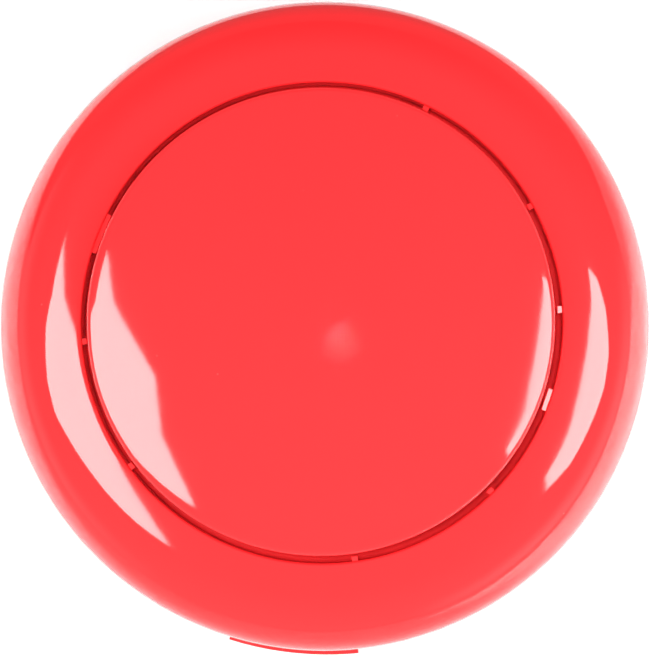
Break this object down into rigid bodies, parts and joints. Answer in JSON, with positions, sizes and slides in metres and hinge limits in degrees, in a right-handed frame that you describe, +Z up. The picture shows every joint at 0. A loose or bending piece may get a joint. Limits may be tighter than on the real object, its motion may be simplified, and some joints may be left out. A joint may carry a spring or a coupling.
{
  "type": "quiz buzzer",
  "caption": "Round tabletop quiz buzzer: a large shallow-domed push button in a rounded housing, with a speaker in the base and a screwed battery door.",
  "frame": {"origin": "centre of the base, on the surface that the rubber feet stand on", "axes": "+Z up through the crown of the button; -Y is the front, the lower edge of the battery door; +X right"},
  "size_m": [0.089, 0.0904, 0.035],
  "materials": {
    "shiny_red_plastic": "glossy moulded ABS",
    "button_red_plastic": "glossy moulded ABS",
    "spring_steel": "bright drawn wire",
    "silicone": "soft translucent silicone",
    "carbon_rubber": "matt conductive rubber",
    "circuit_board": "solder mask over glass laminate",
    "black_epoxy": "cured epoxy",
    "chip_ceramic": "glazed ceramic chip",
    "capacitor_sleeve": "shrunk sleeve",
    "screw_steel": "zinc plated",
    "black_foam": "closed-cell foam",
    "plated_steel": "nickel plated sheet",
    "cone_paper": "pressed paper pulp",
    "magnet": "ferrite",
    "terminal_board": "phenolic board",
    "black_plastic": "fine texture",
    "cell_jacket": "printed film over steel can",
    "wire_red": "PVC insulation",
    "wire_black": "PVC insulation",
    "wire_blue": "PVC insulation",
    "foot_rubber": "soft matt rubber"
  },
  "bodies": {
    "housing": {"top_housing": "shiny_red_plastic", "bottom_housing": "shiny_red_plastic", "return_spring_1": "spring_steel", "return_spring_2": "spring_steel", "return_spring_3": "spring_steel", "switch_dome": "silicone", "circuit_board": "circuit_board", "sound_chip": "black_epoxy", "resistors": "chip_ceramic", "capacitor": "capacitor_sleeve", "board_screws": "screw_steel", "speaker_gasket": "black_foam", "speaker_frame": "plated_steel", "speaker_cone": "cone_paper", "speaker_magnet": "magnet", "speaker_terminals": "terminal_board", "speaker_retainer": "black_plastic", "retainer_screws": "screw_steel", "battery_cell_1": "cell_jacket", "battery_cell_2": "cell_jacket", "bridge_contact": "plated_steel", "positive_contact": "plated_steel", "negative_contact": "plated_steel", "contact_spring_1": "spring_steel", "contact_spring_2": "spring_steel", "battery_wire_positive": "wire_red", "battery_wire_negative": "wire_black", "speaker_wire_1": "wire_blue", "speaker_wire_2": "wire_blue", "case_screws": "screw_steel", "foot_front_right": "foot_rubber", "foot_rear_right": "foot_rubber", "foot_rear_left": "foot_rubber", "foot_front_left": "foot_rubber"},
    "button": {"button_cap": "button_red_plastic", "carbon_pill": "carbon_rubber"},
    "battery_door": {"battery_door": "shiny_red_plastic", "door_screw": "screw_steel"}
  },
  "joints": [
    {"name": "button_press", "type": "slide", "parent": "housing", "child": "button", "axis": [0, 0, -1], "range_m": [0, 0.0025], "stiffness_N_per_m": 400, "springref_m": -0.003, "deforming": ["return_spring_1", "return_spring_2", "return_spring_3", "switch_dome"]},
    {"name": "battery_door_hinge", "type": "hinge", "parent": "housing", "child": "battery_door", "pos_m": [0, -0.02825, 0.0012], "axis": [-1, 0, 0], "range_deg": [0, 75]}
  ]
}
